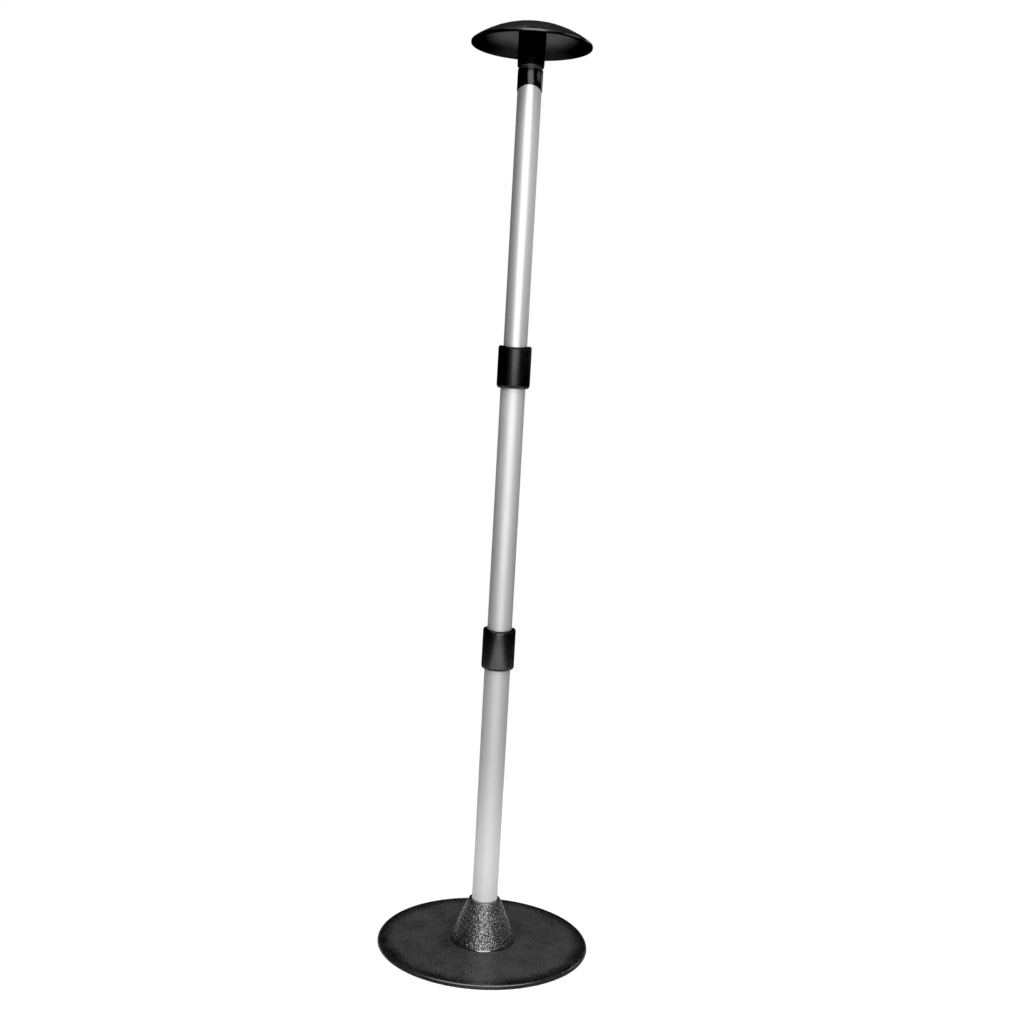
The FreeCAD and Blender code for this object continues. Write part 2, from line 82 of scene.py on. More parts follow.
def rounded(*corners, steps=5):
    """Points of a section through (radius, height, rounding) corners. 0 keeps a corner sharp."""
    points = []
    for index, (x, z, size) in enumerate(corners):
        here = Vector((x, z))
        if not size:
            points.append(here)
            continue
        back = (Vector(corners[index - 1][:2]) - here).normalized()
        forth = (Vector(corners[(index + 1) % len(corners)][:2]) - here).normalized()
        half = back.angle(forth) / 2
        centre = here + (back + forth).normalized() * (size / math.sin(half))
        start = (here + back * (size / math.tan(half)) - centre).normalized()
        end = (here + forth * (size / math.tan(half)) - centre).normalized()
        points += [centre + size * start.slerp(end, step / steps) for step in range(steps + 1)]
    return points


def refined(points, step, outside):
    """The same section with its edges cut no longer than step where outside says so."""
    result = []
    for index, here in enumerate(points):
        result.append(here)
        following = points[(index + 1) % len(points)]
        if outside(here) and outside(following):
            count = math.ceil((following - here).length / step)
            result += [here.lerp(following, part / count) for part in range(1, count)]
    return result


def lathed(name, section, sides):
    """A piece turned round the pole's axis from a section that is walked anticlockwise."""
    verts, rows = [], []
    for point in section:
        if point.x < 1e-7:
            rows.append([len(verts)] * sides)
            verts.append((0, 0, point.y))
            continue
        rows.append(range(len(verts), len(verts) + sides))
        for side in range(sides):
            turn = math.tau * side / sides
            verts.append((point.x * math.cos(turn), point.x * math.sin(turn), point.y))
    faces = []
    for row, following in zip(rows, rows[1:] + rows[:1]):
        for side in range(sides):
            beside = (side + 1) % sides
            corners = (row[side], row[beside], following[beside], following[side])
            face = list(dict.fromkeys(corners))
            if len(face) > 2:
                faces.append(face)
    mesh = bpy.data.meshes.new(name)
    mesh.from_pydata(verts, [], faces)
    mesh.shade_smooth()
    mesh.set_sharp_from_angle(angle=SHARP_EDGE)
    piece = bpy.data.objects.new(name, mesh)
    bpy.context.scene.collection.objects.link(piece)
    return piece


class Signal:
    """A socket in a node tree. Sums, differences, products and ratios of it add Math nodes."""

    def __init__(self, graph, socket):
        self.graph = graph
        self.socket = socket

    def math(self, operation, *values):
        return self.graph.add("ShaderNodeMath", {"operation": operation}, dict(enumerate(values)))

    def root(self):
        return self.math("SQRT", self)

    def __add__(self, other):
        return self.math("ADD", self, other)

    def __radd__(self, other):
        return self.math("ADD", other, self)

    def __sub__(self, other):
        return self.math("SUBTRACT", self, other)

    def __rsub__(self, other):
        return self.math("SUBTRACT", other, self)

    def __mul__(self, other):
        return self.math("MULTIPLY", self, other)

    def __rmul__(self, other):
        return self.math("MULTIPLY", other, self)

    def __truediv__(self, other):
        return self.math("DIVIDE", self, other)

    def __rtruediv__(self, other):
        return self.math("DIVIDE", other, self)

    def ramp(self, low, high):
        """0 below low, 1 above high, and smooth between them."""
        sizes = {"Value": self, "From Min": low, "From Max": high}
        return self.graph.add("ShaderNodeMapRange", {"interpolation_type": "SMOOTHSTEP"}, sizes)


class Graph:
    """A node tree that is built up one node at a time."""

    def __init__(self, tree):
        self.tree = tree

    def add(self, kind, settings=None, inputs=None, output=0):
        """Adds a node: its settings first, then the values or links of its inputs."""
        node = self.tree.nodes.new(kind)
        for name, value in (settings or {}).items():
            setattr(node, name, value)
        for name, value in (inputs or {}).items():
            if isinstance(value, Signal):
                self.tree.links.new(value.socket, node.inputs[name])
            else:
                node.inputs[name].default_value = value
        return Signal(self, node.outputs[output]) if node.outputs else node

    def place(self, stretch=(1, 1, 1)):
        """Where a point is on the object, in metres, with each axis scaled."""
        spot = self.add("ShaderNodeTexCoord", output="Object")
        return self.add("ShaderNodeMapping", inputs={"Vector": spot, "Scale": stretch})

    def x_y_z(self):
        """Where a point is on the object, as three numbers in metres."""
        spot = self.add("ShaderNodeSeparateXYZ", inputs={0: self.place()})
        return [Signal(self, spot.socket.node.outputs[axis]) for axis in "XYZ"]

    def radius_and_height(self):
        """How far a point is from the pole's axis, and how far up it is, in metres."""
        x, y, z = self.x_y_z()
        return (x * x + y * y).root(), z

    def own(self, name):
        """A number that the mesh carries at each point."""
        return self.add("ShaderNodeAttribute", {"attribute_name": name}, output="Fac")

    def noise(self, size, detail=2.0, stretch=(1, 1, 1), rough=0.5):
        """Soft noise from 0 to 1 whose lumps are about the given size, in metres."""
        spot = self.place([share / size for share in stretch])
        values = {"Vector": spot, "Scale": 1.0, "Detail": detail, "Roughness": rough}
        return self.add("ShaderNodeTexNoise", inputs=values)

    def tint(self, share, dark, light):
        """A colour between two colours. The node's sockets 6 and 7 are its two colours."""
        values = {0: share, 6: (*dark, 1), 7: (*light, 1)}
        return self.add("ShaderNodeMix", {"data_type": "RGBA"}, values, output=2)

    def shaded(self, colour, shade):
        """A colour made darker or lighter by a factor."""
        values = {"Vector": colour, "Scale": shade}
        return self.add("ShaderNodeVectorMath", {"operation": "SCALE"}, values)

    def bump(self, height, depth):
        """A normal that shows the height, from 0 to 1, as a relief of that depth in metres."""
        values = {"Height": height, "Distance": depth, "Strength": 1.0}
        return self.add("ShaderNodeBump", inputs=values)


def finish_of(name, build, **constants):
    """A material: constants go on the shader's own sockets, and build returns what varies."""
    material = bpy.data.materials.new(name)
    material.use_nodes = True
    graph = Graph(material.node_tree)
    shader = material.node_tree.nodes["Principled BSDF"]
    for socket, value in constants.items():
        shader.inputs[socket.replace("_", " ")].default_value = value
    for socket, signal in build(graph).items():
        graph.tree.links.new(signal.socket, shader.inputs[socket])
    return material


def dress(piece, material, body=None, stands_for=()):
    """Gives a piece its material, and says what it rides on and which CAD nodes it stands for."""
    piece.data.materials.clear()
    piece.data.materials.append(material)
    if body:
        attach(piece, body)
    if stands_for:
        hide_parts(*stands_for)


disc_low, disc_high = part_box("base_disc")
HUB_RADIUS = 14.0 * MM
SCREW_HOLE = 3.2 * MM
WASHER_SEAT = 8.0 * MM
RIM_DROP = 0.2 * MM
RIM_ROUNDING = 3.0 * MM
BORDER_WIDTH = 9.0 * MM
BORDER_STEPS = 10
ROUNDED_STEPS = 4
disc_radius = disc_high.x
disc_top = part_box("tube_socket")[0].z
rim_top = disc_top - RIM_DROP
pad_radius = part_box("base_pad")[1].x
pad_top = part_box("base_pad")[1].z
washer_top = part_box("base_washer")[1].z

border = [
    Vector((disc_radius - BORDER_WIDTH * share, disc_top - RIM_DROP * (1 - share) ** 2))
    for share in (step / BORDER_STEPS for step in range(BORDER_STEPS + 1))
]
disc_section = (
    rounded(
        (SCREW_HOLE, washer_top, 0),
        (WASHER_SEAT, washer_top, 0),
        (WASHER_SEAT, pad_top, 0.3 * MM),
        (pad_radius, pad_top, 0),
        (pad_radius, disc_low.z, 0.3 * MM),
        (disc_radius, disc_low.z, 0.5 * MM),
        (disc_radius, rim_top, RIM_ROUNDING),
        (*border[ROUNDED_STEPS], 0),
    )
    + border[ROUNDED_STEPS + 1:]
    + rounded(
        (HUB_RADIUS, disc_top, 0),
        (HUB_RADIUS, disc_high.z, 0.4 * MM),
        (SCREW_HOLE, disc_high.z, 0),
    )
)
disc = lathed("base_disc_moulding", disc_section, sides=256)


def disc_grain_and_painted_shade(graph):
    """Fine grain in the middle, painted shade on the border and by the cone, and a polished edge.
    """
    radius, height = graph.radius_and_height()
    # Painted shade: the border band is darkened towards the rim. The same band also raises the
    # coat.
    border_shade_and_gloss = radius.ramp(disc_radius - BORDER_WIDTH * 2.2, disc_radius - BORDER_WIDTH * 0.2)
    near_rim = radius.ramp(disc_radius - 2.8 * MM, disc_radius - 2.3 * MM)
    edge = near_rim * height.ramp(rim_top - 0.8 * MM, rim_top - 0.5 * MM)
    above_side = height.ramp(rim_top - 0.8 * MM, rim_top - 0.3 * MM)
    # Painted shade: a darker ring round the cone's foot.
    cone_foot_shade = 1 - radius.ramp(34 * MM, 52 * MM)
    grain = graph.noise(1.1 * MM, 2.0)
    fleck = graph.noise(1.4 * MM, 1.0).ramp(0.44, 0.58)
    cloud = graph.noise(26 * MM, 3.0)
    gloss = 0.1 + above_side * (0.4 + border_shade_and_gloss * 0.4)
    # Tone from random cloud and grain, less the painted shade of the border and of the cone's
    # foot.
    shade = 0.66 + (cloud - 0.5) * 0.8 + (grain - 0.5) * 2.2 - border_shade_and_gloss * 0.6 - cone_foot_shade * 0.1
    return {
        "Base Color": graph.tint(shade.ramp(0, 1), (0.001, 0.001, 0.001), (0.052, 0.052, 0.053)),
        "Roughness": 0.46 + (grain - 0.5) * 0.3,
        "Normal": graph.bump(grain, (1 - edge) * 1.1 * MM),
        "Coat Weight": edge + fleck * (1 - edge) * gloss,
    }


disc_plastic = finish_of(
    "disc_plastic_with_painted_shade", disc_grain_and_painted_shade,
    Specular_IOR_Level=0.2, Coat_Roughness=0.25, Coat_IOR=1.9,
)
dress(disc, disc_plastic, "base", ["base_disc"])


# --- Pad and fasteners under the base -------------------------------------------------------
# A die-cut rubber pad glued into the disc's recess, with a hole for the middle screw. Screws,
# washer, nut and snap rings are headed, stamped or bent in steel and then plated with zinc, so
# they are bright and a bit dull.

pad_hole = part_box("base_washer")[1].x + 1.5 * MM
pad_section = rounded(
    (pad_hole, 0, 0.15 * MM),
    (pad_radius, 0, 0.35 * MM),
    (pad_radius, pad_top, 0),
    (pad_hole, pad_top, 0),
)
pad = lathed("base_pad_sheet", pad_section, sides=192)


def rubber_finish(graph):
    """Matt rubber with the cloth mark of the sheet it was cut from."""
    across_x = graph.noise(0.5 * MM, 1.0, stretch=(1, 0.08, 1))
    across_y = graph.noise(0.5 * MM, 1.0, stretch=(0.08, 1, 1))
    cloth = across_x * across_y * 2.0
    dust = graph.noise(9 * MM, 4.0)
    dusty = dust.ramp(0.35, 0.8)
    return {
        "Base Color": graph.tint(dusty, (0.020, 0.020, 0.020), (0.048, 0.047, 0.045)),
        "Roughness": 0.72 + dust * 0.2,
        "Normal": graph.bump(cloth, 0.18 * MM),
    }


rubber = finish_of("pad_rubber_finish", rubber_finish)
dress(pad, rubber, "base", ["base_pad"])


def steel_finish(graph):
    """Zinc plate: bright metal with faint mottling."""
    mottle = graph.noise(1.2 * MM, 3.0)
    scratch = graph.noise(0.25 * MM, 2.0, stretch=(1, 1, 0.1))
    return {
        "Base Color": graph.tint(mottle, (0.46, 0.46, 0.47), (0.66, 0.66, 0.67)),
        "Roughness": 0.28 + mottle * 0.18,
        "Normal": graph.bump(scratch, 0.02 * MM),
    }


steel = finish_of("fastener_steel_finish", steel_finish, Metallic=1.0)
for node in (
    "base_screw", "base_washer", "socket_screws", "end_plug_nut",
    "lower_snap_ring", "upper_snap_ring", "cap_snap_ring",
):
    dress(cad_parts[node], steel)


# --- Tube socket ----------------------------------------------------------------------------
# Moulded cone that stands on the disc and holds the lowest tube. Its flank and lip have a
# coarse pebble grain, cast into the mould, which glints; its foot is a crisp narrow edge.

socket_low, socket_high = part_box("tube_socket")
tube_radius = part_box("lower_tube")[1].x
foot_radius = socket_high.x
FOOT_EDGE = 0.3 * MM
FOOT_BAND = 1.2 * MM
NECK_RADIUS = 16.9 * MM
NECK_HEIGHT = 43.2 * MM
SOCKET_WALL = 3.0 * MM
SLEEVE_RADIUS = 15.9 * MM
HOLLOW_TOP = 34.0 * MM
GRAIN_STEP = 0.36 * MM
seat_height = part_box("lower_tube")[0].z
edge_top = socket_low.z + FOOT_EDGE
flank_slope = (foot_radius - NECK_RADIUS) / (NECK_HEIGHT - edge_top)
hollow_radius = foot_radius - flank_slope * (HOLLOW_TOP - edge_top) - SOCKET_WALL


def grain_tree():
    """A node tree that raises pebbles on a mesh where its grain attribute says so."""
    tree = bpy.data.node_groups.new("pebble_grain", "GeometryNodeTree")
    sockets = (
        ("Geometry", "NodeSocketGeometry"), ("Pebble Size", "NodeSocketFloat"),
        ("Pebble Height", "NodeSocketFloat"), ("Seed", "NodeSocketFloat"),
        ("Material", "NodeSocketMaterial"),
    )
    for name, kind in sockets:
        tree.interface.new_socket(name, in_out="INPUT", socket_type=kind)
    tree.interface.new_socket("Geometry", in_out="OUTPUT", socket_type="NodeSocketGeometry")
    graph = Graph(tree)
    given = graph.add("NodeGroupInput")
    source = {name: Signal(graph, given.socket.node.outputs[name]) for name, _ in sockets}
    spot = graph.add("GeometryNodeInputPosition")
    pitch = 1 / source["Pebble Size"]
    cells = graph.add(
        "ShaderNodeTexVoronoi",
        {"voronoi_dimensions": "4D", "feature": "SMOOTH_F1"},
        {"Vector": spot, "W": source["Seed"], "Scale": pitch, "Smoothness": 0.6},
    )
    lumps = graph.add(
        "ShaderNodeTexNoise",
        {"noise_dimensions": "4D"},
        {"Vector": spot, "W": source["Seed"], "Scale": pitch * 1.7, "Detail": 1.0},
    )
    mask = graph.add("GeometryNodeInputNamedAttribute", {"data_type": "FLOAT"}, {"Name": "grain"})
    lift = ((1 - cells) * 0.7 + (lumps - 0.5) * 1.2 - 0.35) * source["Pebble Height"] * mask
    normal = graph.add("GeometryNodeInputNormal")
    offset = graph.add(
        "ShaderNodeVectorMath", {"operation": "SCALE"}, {"Vector": normal, "Scale": lift}
    )
    raised = graph.add(
        "GeometryNodeSetPosition", inputs={"Geometry": source["Geometry"], "Offset": offset}
    )
    real = graph.add("GeometryNodeRealizeInstances", inputs={"Geometry": raised})
    coated = graph.add(
        "GeometryNodeSetMaterial", inputs={"Geometry": real, "Material": source["Material"]}
    )
    graph.add("NodeGroupOutput", inputs={"Geometry": coated})
    return tree


def shaped(piece, tree, **values):
    """Runs a node tree on a piece, keeps the result as its plain mesh and drops the modifier."""
    modifier = piece.modifiers.new("shape", "NODES")
    modifier.node_group = tree
    inputs = [item for item in tree.interface.items_tree if item.in_out == "INPUT"]
    identifiers = {item.name: item.identifier for item in inputs}
    for name, value in values.items():
        modifier[identifiers[name.replace("_", " ")]] = value
    seen = piece.evaluated_get(bpy.context.evaluated_depsgraph_get())
    mesh = bpy.data.meshes.new_from_object(seen)
    piece.modifiers.remove(modifier)
    piece.data = mesh


def marked(piece, share):
    """Writes how much grain each point takes, from 0 to 1, as a function of its place."""
    grain = piece.data.attributes.new("grain", "FLOAT", "POINT")
    for index, vertex in enumerate(piece.data.vertices):
        grain.data[index].value = share(vertex.co)


def share_between(value, low, high):
    """0 below low, 1 above high, and even between them."""
    return min(max((value - low) / (high - low), 0), 1)


pebbles = grain_tree()
band_top = socket_low.z + FOOT_BAND


def outside_cone(spot):
    """Whether a point of the section is on the cone's flank or on its lip."""
    on_flank = spot.x > max(NECK_RADIUS - 4 * MM, hollow_radius + 0.2 * MM)
    return on_flank or spot.y > HOLLOW_TOP + 1 * MM


socket_section = refined(
    rounded(
        (foot_radius, socket_low.z, 0),
        (foot_radius, edge_top, 0.15 * MM),
        (NECK_RADIUS, NECK_HEIGHT, 3.0 * MM),
        (NECK_RADIUS - 1.8 * MM, socket_high.z, 1.2 * MM),
        (tube_radius + 0.6 * MM, socket_high.z, 0.5 * MM),
        (tube_radius, socket_high.z - 1.2 * MM, 0),
        (tube_radius, seat_height, 0),
        (SCREW_HOLE, seat_height, 0),
        (SCREW_HOLE, disc_high.z, 0),
        (HUB_RADIUS + 0.1 * MM, disc_high.z, 0),
        (HUB_RADIUS + 0.1 * MM, socket_low.z, 0),
        (SLEEVE_RADIUS, socket_low.z, 0),
        (SLEEVE_RADIUS, HOLLOW_TOP, 0),
        (hollow_radius, HOLLOW_TOP, 0),
        (foot_radius - SOCKET_WALL, socket_low.z, 0),
        steps=6,
    ),
    GRAIN_STEP,
    outside_cone,
)
socket = lathed("tube_socket_cone", socket_section, sides=520)


def socket_grain(spot):
    """Full grain on the flank, none inside, at the foot's edge or where the tube enters."""
    radius = math.hypot(spot.x, spot.y)
    outer = radius > hollow_radius or spot.z > HOLLOW_TOP + 2 * MM
    above_foot = share_between(spot.z, band_top, band_top + MM)
    clear_of_tube = share_between(radius, tube_radius + 0.3 * MM, tube_radius + 1.5 * MM)
    return above_foot * clear_of_tube if outer else 0


marked(socket, socket_grain)


def socket_finish(graph):
    """Black plastic whose pebbles glint, with a polished band at the foot."""
    height = graph.x_y_z()[2]
    band = 1 - height.ramp(band_top - 0.3 * MM, band_top + 0.3 * MM)
    fleck = graph.noise(1.2 * MM, 2.0, rough=0.6)
    cloud = graph.noise(9 * MM, 2.0)
    shade = fleck * 0.6 + cloud * 0.4
    return {
        "Base Color": graph.tint(shade, (0.002, 0.002, 0.002), (0.018, 0.018, 0.018)),
        "Roughness": 0.2 + cloud * 0.1,
        "Normal": graph.bump(fleck, (1 - band) * 0.7 * MM),
        "Coat Weight": band + fleck.ramp(0.42, 0.58) * (1 - band),
    }


socket_plastic = finish_of(
    "socket_plastic_finish", socket_finish,
    Specular_IOR_Level=0.4, Coat_Roughness=0.14, Coat_IOR=2.1,
)
shaped(
    socket, pebbles,
    Pebble_Size=1.7 * MM, Pebble_Height=0.9 * MM, Seed=3.0, Material=socket_plastic,
)
dress(socket, socket_plastic, "base", ["tube_socket"])


# --- Tubes ----------------------------------------------------------------------------------
# Three thin drawn tubes that nest, anodised satin silver. Drawing leaves fine lines along
# them, and their ends are deburred. The sliding two have a bead rolled in near the foot.

TUBE_WALL = 0.45 * MM
BEAD_HEIGHT = 0.12 * MM
BEAD_WIDTH = 2.4 * MM
BEAD_BELOW_STOP = 3.0 * MM


def tube_metal_and_painted_light(matt, low, high, painted_light_low, painted_light_high):
    """Satin metal with fine lengthwise lines; its colour is scaled with height as painted light.
    """
    def build(graph):
        lines = graph.noise(0.35 * MM, 3.0, stretch=(1, 1, 0.004))
        streaks = graph.noise(2.6 * MM, 2.0, stretch=(1, 1, 0.02))
        cloud = graph.noise(30 * MM, 2.0)
        gloss = (lines - 0.5) * 0.14 + (streaks - 0.5) * 0.12 + (cloud - 0.5) * 0.06
        height = graph.x_y_z()[2]
        # Painted light and shade: the metal's colour is scaled by height, from low to high, for
        # how the light falls along the tube.
        shade = painted_light_low + height.ramp(low, high) * (painted_light_high - painted_light_low)
        marks = streaks * 0.5 + lines * 0.5
        silver = graph.tint(marks, (0.50, 0.50, 0.505), (0.62, 0.62, 0.625))
        return {
            "Base Color": graph.shaded(silver, shade),
            "Roughness": matt + gloss,
            "Normal": graph.bump(lines, 0.012 * MM),
        }
    return build


def bead(radius, top, profile):
    """Corners of one face of a rolled bead, from (share of its width below top, lift) pairs."""
    return [
        (radius + lift * BEAD_HEIGHT, top - below * BEAD_WIDTH, 0) for below, lift in profile
    ]


def drawn_tube(name, body, radius, bottom, top, finish, stop=None):
    """One tube, with deburred ends, and with a bead where it meets the stop above it, if any."""
    bore = radius - TUBE_WALL
    upwards = ((1, 0), (0.75, 1), (0.25, 1), (0, 0))
    bead_top = stop and stop - BEAD_BELOW_STOP + BEAD_WIDTH / 2
    section = rounded(
        (radius, bottom, 0.12 * MM),
        *(bead(radius, bead_top, upwards) if stop else ()),
        (radius, top, 0.12 * MM),
        (bore, top, 0.08 * MM),
        *(bead(bore, bead_top, upwards[::-1]) if stop else ()),
        (bore, bottom, 0.08 * MM),
        steps=3,
    )
    tube = lathed(f"{name}_drawn", section, sides=160)
    metal = finish_of(f"{name}_finish", finish, Metallic=0.75)
    dress(tube, metal, body, [name])


lower_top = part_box("lower_tube")[1].z
mid_low, mid_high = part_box("mid_tube")
upper_low, upper_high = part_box("upper_tube")
mid_radius = mid_high.x - BEAD_HEIGHT
upper_radius = upper_high.x - BEAD_HEIGHT
# The lowest tube gets a painted reflection of the floor: lighter towards its foot.
drawn_tube(
    "lower_tube", "base", tube_radius, seat_height, lower_top,
    tube_metal_and_painted_light(matt=0.68, low=0, high=0.22, painted_light_low=1.35, painted_light_high=0.78),
)
# The middle tube gets painted shade: darker towards its foot.
drawn_tube(
    "mid_tube", "mid_section", mid_radius, mid_low.z, mid_high.z,
    tube_metal_and_painted_light(matt=0.62, low=0.26, high=0.56, painted_light_low=0.76, painted_light_high=1.0),
    stop=lower_top,
)
# The top tube gets painted light: lighter towards its top.
drawn_tube(
    "upper_tube", "upper_section", upper_radius, upper_low.z, upper_high.z,
    tube_metal_and_painted_light(matt=0.50, low=0.52, high=0.85, painted_light_low=0.95, painted_light_high=1.22),
    stop=mid_high.z,
)


# --- Twist locks ----------------------------------------------------------------------------
# Each lock is a slotted collet moulded in acetal, pressed on the outer tube, with a rubber
# grip ring inside and a smooth satin black collar over it, which turns on its snap ring.

LOCK_HEIGHT = 41.1 * MM
COLLAR_SHOULDER = 2.7 * MM
COLLAR_LIP = 4.2 * MM
COLLAR_BORE = 14.85 * MM
COLLAR_SADDLE = 1.8 * MM
COLLAR_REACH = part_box("lower_collar")[1].x - COLLAR_SHOULDER / 2


def collar_finish(shine, top):
    """Smooth black, polished by hands on its side, with very faint flow marks and scuffs."""
    def build(graph):
        x, _, z = graph.x_y_z()
        level = z + (1 - x * x / COLLAR_REACH ** 2) * COLLAR_SADDLE
        shoulder = level.ramp(top - COLLAR_SHOULDER, top - COLLAR_SHOULDER * 0.5)
        skin = graph.noise(0.6 * MM, 3.0)
        flow = graph.noise(7 * MM, 2.0, stretch=(1, 1, 0.5))
        scuff = graph.noise(0.9 * MM, 2.0, stretch=(1, 1, 6.0))
        marks = scuff.ramp(0.62, 0.8)
        shade = flow * 0.7 + marks * 0.3
        return {
            "Base Color": graph.tint(shade, (0.0015, 0.0015, 0.0015), (0.004, 0.004, 0.004)),
            "Roughness": 0.45 + (flow - 0.5) * 0.16 + marks * 0.06,
            "Normal": graph.bump(skin, 0.03 * MM),
            "Coat Weight": shine * (0.8 + flow * 0.4) * (1 - shoulder * 0.8),
        }
    return build


def twist_collar(name, body, tube_inside, shine, matt):
    """One collar, whose flat top is then bent down at the front and the back like a saddle."""
    low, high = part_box(name)
    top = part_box(name.replace("collar", "collet"))[0].z + LOCK_HEIGHT
    lip = tube_inside + 0.3 * MM
    section = rounded(
        (high.x, low.z, 0.4 * MM),
        (high.x, top, COLLAR_SHOULDER),
        (lip, top, 0.35 * MM),
        (lip, top - COLLAR_LIP, 0),
        (COLLAR_BORE, top - COLLAR_LIP, 0),
        (COLLAR_BORE, low.z, 0.2 * MM),
        steps=8,
    )
    collar = lathed(f"{name}_moulding", section, sides=160)
    for vertex in collar.data.vertices:
        dip = max(1 - (vertex.co.x / COLLAR_REACH) ** 2, 0) * COLLAR_SADDLE
        vertex.co.z -= dip * (vertex.co.z - low.z) / (top - low.z)
    plastic = finish_of(
        f"{name}_finish", collar_finish(shine, top),
        Specular_IOR_Level=0.04, Coat_Roughness=matt, Coat_IOR=1.8,
    )
    dress(collar, plastic, body, [name])


twist_collar("lower_collar", "lower_lock", mid_radius, shine=0.90, matt=0.22)
twist_collar("upper_collar", "upper_lock", upper_radius, shine=0.38, matt=0.32)


def acetal_finish(graph):
    """Slippery black moulding with a faint skin."""
    skin = graph.noise(0.8 * MM, 2.0)
    return {
        "Base Color": graph.tint(skin, (0.005, 0.005, 0.005), (0.012, 0.012, 0.012)),
        "Roughness": 0.38 + skin * 0.12,
        "Normal": graph.bump(skin, 0.03 * MM),
    }


acetal = finish_of("collet_plastic_finish", acetal_finish, Specular_IOR_Level=0.3)
for node in ("lower_collet", "upper_collet"):
    dress(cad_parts[node], acetal)
for node in ("lower_grip_ring", "upper_grip_ring"):
    dress(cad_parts[node], rubber)


# --- Bushes and plugs -----------------------------------------------------------------------
# The guide bushes at the sliding tubes' feet, the plug in the lowest tube's foot and the plug
# at the top are moulded in nylon. The top plug's flange shows in the groove under the cap.


def nylon_finish(colour_low, colour_high):
    """Waxy moulding with a faint grain."""
    def build(graph):
        skin = graph.noise(0.7 * MM, 3.0)
        return {
            "Base Color": graph.tint(skin, colour_low, colour_high),
            "Roughness": 0.4 + skin * 0.15,
            "Normal": graph.bump(skin, 0.03 * MM),
        }
    return build


nylon = finish_of("nylon_finish", nylon_finish((0.55, 0.54, 0.50), (0.68, 0.67, 0.63)))
for node in ("mid_guide_bush", "upper_guide_bush", "end_plug"):
    dress(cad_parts[node], nylon)
black_nylon = finish_of(
    "black_nylon_finish", nylon_finish((0.010, 0.010, 0.010), (0.020, 0.020, 0.020))
)
dress(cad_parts["top_plug"], black_nylon)


# --- Ferrule --------------------------------------------------------------------------------
# Thin glossy black sleeve shrunk on the top tube's end. Its lower edge is cut in an arch at
# the front and at the back, so it looks like a fish's mouth from either side.

ferrule_low, ferrule_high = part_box("ferrule")
FERRULE_ARCH = 4.5 * MM
ferrule_section = rounded(
    (ferrule_high.x, ferrule_low.z, 0.15 * MM),
    (ferrule_high.x, ferrule_high.z, 0.2 * MM),
    (upper_radius, ferrule_high.z, 0),
    (upper_radius, ferrule_low.z, 0),
    steps=3,
)
ferrule = lathed("ferrule_sleeve", ferrule_section, sides=192)
arch_radius = (ferrule_high.x ** 2 + FERRULE_ARCH ** 2) / (2 * FERRULE_ARCH)
for vertex in ferrule.data.vertices:
    rise = math.sqrt(arch_radius ** 2 - vertex.co.x ** 2) - (arch_radius - FERRULE_ARCH)
    up = (ferrule_high.z - vertex.co.z) / (ferrule_high.z - ferrule_low.z)
    vertex.co.z += max(rise, 0) * up


def ferrule_finish(graph):
    """Glossy black with a faint orange-peel surface."""
    peel = graph.noise(1.8 * MM, 1.0)
    film = graph.noise(6 * MM, 2.0)
    return {
        "Base Color": graph.tint(film, (0.001, 0.001, 0.001), (0.004, 0.004, 0.004)),
        "Roughness": 0.16 + film * 0.1,
        "Normal": graph.bump(peel, 0.02 * MM),
    }


gloss = finish_of("ferrule_plastic_finish", ferrule_finish, Specular_IOR_Level=0.4)
dress(ferrule, gloss, "upper_section", ["ferrule"])


# --- Domed cap ------------------------------------------------------------------------------
# One moulding: a shallow dome with a narrow upright rim, hollow and smooth beneath, and a stem
# whose socket snaps on the plug's spigot. The dome's upper face has pebble grain like the cone's.

cap_low, cap_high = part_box("dome_cap")
DOME_RIM = 876.1 * MM
DOME_WALL = 2.8 * MM
DOME_STEPS = 120
HOLLOW_STEPS = 24
RIM_HEIGHT = 2.2 * MM
RIM_ROUND = 0.5 * MM
STEM_LIP = 12.3 * MM
STEM_FOOT = 12.75 * MM
STEM_TOP = 13.15 * MM
STEM_FLARE = 9.0 * MM
CAP_BORE = 8.1 * MM
SNAP_DEPTH = 0.45 * MM
SNAP_ROOM = 0.1 * MM
SPIGOT_ROOM = 2.0 * MM
bore_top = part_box("top_plug")[1].z + SPIGOT_ROOM
snap_low, snap_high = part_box("cap_snap_ring")


class Bowl:
    """One face of the dome: part of a ball that has the given rim and top."""

    def __init__(self, radius, rim, top):
        rise = top - rim
        self.top = top
        self.curve = (radius ** 2 + rise ** 2) / (2 * rise)

    def at(self, radius):
        """The point of the section at that radius."""
        return Vector((radius, self.top - self.curve + math.sqrt(self.curve ** 2 - radius ** 2)))


rim_radius = cap_high.x
rim_top = DOME_RIM + RIM_HEIGHT
hollow_rim = rim_radius - DOME_WALL
upper_face = Bowl(rim_radius, rim_top, cap_high.z)
lower_face = Bowl(hollow_rim, DOME_RIM, cap_high.z - DOME_WALL)

flare_end = lower_face.at(STEM_TOP + STEM_FLARE)
stem = rounded(
    (STEM_LIP, cap_low.z, 0.7 * MM),
    (STEM_FOOT, cap_low.z + 1.6 * MM, 0.9 * MM),
    (STEM_TOP, lower_face.at(STEM_TOP).y - 0.1 * MM, 1.8 * MM),
    (*flare_end, 0),
    (0, cap_low.z, 0),
)[:-1]
under = [
    lower_face.at(flare_end.x + (hollow_rim - flare_end.x) * step / HOLLOW_STEPS)
    for step in range(1, HOLLOW_STEPS + 1)
]
rim = rounded(
    (rim_radius, DOME_RIM, RIM_ROUND),
    (rim_radius, rim_top, RIM_ROUND),
    (hollow_rim, rim_top + MM, 0),
    (hollow_rim, DOME_RIM, 0),
)[:-2]
over = [upper_face.at(rim_radius * (1 - step / DOME_STEPS)) for step in range(1, DOME_STEPS + 1)]
